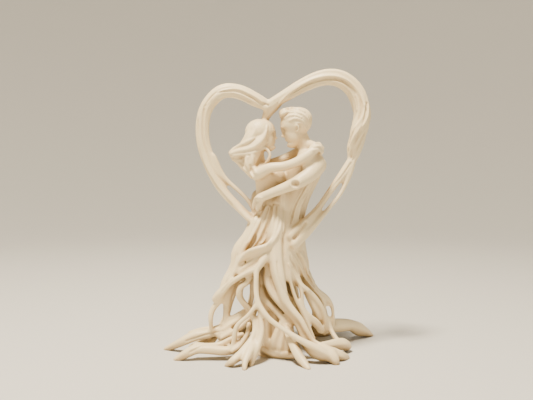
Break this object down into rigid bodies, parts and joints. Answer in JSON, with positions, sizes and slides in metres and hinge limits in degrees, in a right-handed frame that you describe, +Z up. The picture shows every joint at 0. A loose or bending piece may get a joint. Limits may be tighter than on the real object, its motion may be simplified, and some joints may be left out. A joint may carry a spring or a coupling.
{
  "type": "figurine",
  "caption": "Figurine, printed in ivory resin, of a couple embracing below a heart of twisted strands, their clothes running down into an open cage of roots with claw-like toes.",
  "frame": {"origin": "on the floor, below the plane in which the heart lies, at the inner stem's flat foot", "axes": "+X to the side that the man stands on, +Y towards the back, +Z up; the couple's front faces -Y"},
  "size_m": [0.1315, 0.0951, 0.1694],
  "materials": {
    "ivory_resin": "ivory resin print, matte, with the fine lines of its layers"
  },
  "bodies": {
    "root": {"couple": "ivory_resin"}
  },
  "joints": []
}
